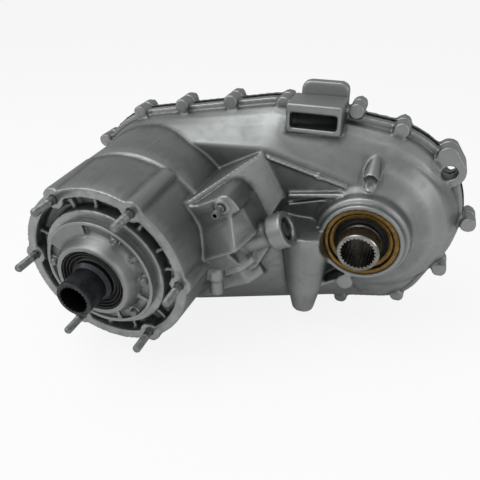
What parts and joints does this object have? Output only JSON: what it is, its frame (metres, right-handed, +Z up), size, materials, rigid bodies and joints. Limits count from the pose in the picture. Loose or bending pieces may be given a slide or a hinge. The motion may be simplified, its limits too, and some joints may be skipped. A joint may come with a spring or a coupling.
{
  "type": "transfer case",
  "caption": "Chain-drive two-speed transfer case with a planetary low range, studded input flange and a splined front output",
  "frame": {"origin": "centre of the six-stud input flange face, on the main axis", "axes": "+Y rearwards along the main axis, +X towards the front output, +Z up"},
  "size_m": [0.53, 0.455, 0.309],
  "materials": {
    "cast_aluminium": "as-cast, shot-blasted",
    "machined_aluminium": "machined",
    "bearing_steel": "ground",
    "gear_steel": "carburised and shot-peened",
    "dark_steel": "phosphated",
    "bright_steel": "turned",
    "zinc_steel": "yellow zinc passivated",
    "fastener_steel": "zinc plated",
    "sintered_steel": "sintered",
    "chain_steel": "blackened",
    "bronze": "reamed",
    "nitrile_rubber": "moulded",
    "black_sealant": "cured bead",
    "nylon_cage": "moulded"
  },
  "bodies": {
    "housing": {"front_case": "cast_aluminium", "rear_case": "cast_aluminium", "rear_extension": "cast_aluminium", "case_sealant": "black_sealant", "case_bolts": "fastener_steel", "oil_plugs": "fastener_steel", "flange_studs": "fastener_steel", "bearing_retainer": "machined_aluminium", "retainer_bolts": "fastener_steel", "input_seal": "nitrile_rubber", "input_bearing_outer_race": "bearing_steel", "annulus_gear": "gear_steel", "annulus_snap_ring": "dark_steel", "output_bearing_outer_race": "bearing_steel", "output_tail_bearing": "bearing_steel", "output_seal_shell": "zinc_steel", "output_seal_lip": "nitrile_rubber", "rear_bearing_outer_race": "bearing_steel", "oil_pump_housing": "machined_aluminium", "pump_bolts": "fastener_steel", "pickup_tube": "bright_steel", "pickup_strainer": "nylon_cage", "extension_bush": "bronze", "extension_seal": "nitrile_rubber", "extension_bolts": "fastener_steel", "shift_rail": "bright_steel", "sector_seal": "nitrile_rubber", "vent_tube": "zinc_steel", "drive_chain": "chain_steel"},
    "input_shaft": {"input_gear": "dark_steel", "input_bearing_inner_race": "bearing_steel", "pilot_bearing": "bronze"},
    "input_ball_set": {"input_bearing_balls": "bearing_steel", "input_bearing_cage": "nylon_cage"},
    "carrier": {"planet_carrier": "sintered_steel", "planet_pins": "bearing_steel"},
    "planet_1": {"planet_gear_1": "gear_steel"},
    "planet_2": {"planet_gear_2": "gear_steel"},
    "planet_3": {"planet_gear_3": "gear_steel"},
    "planet_4": {"planet_gear_4": "gear_steel"},
    "rear_shaft": {"mainshaft": "bright_steel", "mode_hub": "gear_steel", "oil_pump_inner_rotor": "sintered_steel", "rear_bearing_inner_race": "bearing_steel"},
    "range_sleeve_body": {"range_sleeve": "gear_steel"},
    "mode_sleeve_body": {"mode_sleeve": "gear_steel"},
    "drive_sprocket_body": {"drive_sprocket": "gear_steel", "sprocket_bearing": "bronze"},
    "front_output": {"front_output_shaft": "bright_steel", "driven_sprocket": "gear_steel", "output_bearing_inner_race": "bearing_steel"},
    "output_ball_set": {"output_bearing_balls": "bearing_steel", "output_bearing_cage": "nylon_cage"},
    "rear_ball_set": {"rear_bearing_balls": "bearing_steel"},
    "pump_ring": {"oil_pump_outer_rotor": "sintered_steel"},
    "range_fork_body": {"range_fork": "machined_aluminium"},
    "mode_fork_body": {"mode_fork": "machined_aluminium"},
    "sector_body": {"shift_sector": "bright_steel"}
  },
  "joints": [
    {"name": "input_spin", "type": "hinge", "parent": "housing", "child": "input_shaft", "pos_m": [0, 0, 0], "axis": [0, 1, 0], "continuous": true},
    {"name": "input_balls_roll", "type": "hinge", "parent": "housing", "child": "input_ball_set", "pos_m": [0, 0.0103, 0], "axis": [0, 1, 0], "continuous": true},
    {"name": "carrier_spin", "type": "hinge", "parent": "housing", "child": "carrier", "pos_m": [0, 0.05, 0], "axis": [0, 1, 0], "continuous": true},
    {"name": "planet_1_spin", "type": "hinge", "parent": "carrier", "child": "planet_1", "pos_m": [0.06, 0.05, 0], "axis": [0, 1, 0], "continuous": true},
    {"name": "planet_2_spin", "type": "hinge", "parent": "carrier", "child": "planet_2", "pos_m": [0, 0.05, 0.06], "axis": [0, 1, 0], "continuous": true},
    {"name": "planet_3_spin", "type": "hinge", "parent": "carrier", "child": "planet_3", "pos_m": [-0.06, 0.05, 0], "axis": [0, 1, 0], "continuous": true},
    {"name": "planet_4_spin", "type": "hinge", "parent": "carrier", "child": "planet_4", "pos_m": [0, 0.05, -0.06], "axis": [0, 1, 0], "continuous": true},
    {"name": "rear_shaft_spin", "type": "hinge", "parent": "housing", "child": "rear_shaft", "pos_m": [0, 0.2, 0], "axis": [0, 1, 0], "continuous": true},
    {"name": "rear_balls_roll", "type": "hinge", "parent": "housing", "child": "rear_ball_set", "pos_m": [0, 0.2565, 0], "axis": [0, 1, 0], "continuous": true},
    {"name": "drive_sprocket_spin", "type": "hinge", "parent": "housing", "child": "drive_sprocket_body", "pos_m": [0, 0.187, 0], "axis": [0, 1, 0], "continuous": true},
    {"name": "front_output_spin", "type": "hinge", "parent": "housing", "child": "front_output", "pos_m": [0.2697, 0.187, 0.0142], "axis": [0, 1, 0], "continuous": true},
    {"name": "output_balls_roll", "type": "hinge", "parent": "housing", "child": "output_ball_set", "pos_m": [0.2697, 0.147, 0.0142], "axis": [0, 1, 0], "continuous": true},
    {"name": "pump_ring_spin", "type": "hinge", "parent": "housing", "child": "pump_ring", "pos_m": [0.0035, 0.229, 0], "axis": [0, 1, 0], "continuous": true},
    {"name": "sector_turn", "type": "hinge", "parent": "housing", "child": "sector_body", "pos_m": [0.15834, 0.092, 0.02131], "axis": [-0.8846, 0, -0.4664], "range_deg": [0, 48]},
    {"name": "range_fork_slide", "type": "slide", "parent": "housing", "child": "range_fork_body", "axis": [0, 1, 0], "range_m": [0, 0.018]},
    {"name": "range_sleeve_slide", "type": "slide", "parent": "rear_shaft", "child": "range_sleeve_body", "axis": [0, 1, 0], "range_m": [0, 0.018]},
    {"name": "mode_fork_slide", "type": "slide", "parent": "housing", "child": "mode_fork_body", "axis": [0, 1, 0], "range_m": [0, 0.012]},
    {"name": "mode_sleeve_slide", "type": "slide", "parent": "rear_shaft", "child": "mode_sleeve_body", "axis": [0, 1, 0], "range_m": [0, 0.012]}
  ],
  "couplings": [
    {"joint": "carrier_spin", "follows": "input_spin", "ratio": 0.375},
    {"joint": "planet_1_spin", "follows": "input_spin", "ratio": -1.875},
    {"joint": "planet_2_spin", "follows": "input_spin", "ratio": -1.875},
    {"joint": "planet_3_spin", "follows": "input_spin", "ratio": -1.875},
    {"joint": "planet_4_spin", "follows": "input_spin", "ratio": -1.875},
    {"joint": "rear_shaft_spin", "follows": "input_spin", "ratio": 1},
    {"joint": "drive_sprocket_spin", "follows": "input_spin", "ratio": 1},
    {"joint": "front_output_spin", "follows": "input_spin", "ratio": 1},
    {"joint": "pump_ring_spin", "follows": "input_spin", "ratio": 0.85714},
    {"joint": "input_balls_roll", "follows": "input_spin", "ratio": 0.41429},
    {"joint": "output_balls_roll", "follows": "input_spin", "ratio": 0.42923},
    {"joint": "rear_balls_roll", "follows": "input_spin", "ratio": 0.4107},
    {"joint": "range_fork_slide", "follows": "range_sleeve_slide", "ratio": 1},
    {"joint": "sector_turn", "follows": "range_sleeve_slide", "rad_per_m": 46.542},
    {"joint": "mode_fork_slide", "follows": "range_sleeve_slide", "ratio": 0.66667},
    {"joint": "mode_sleeve_slide", "follows": "range_sleeve_slide", "ratio": 0.66667}
  ]
}
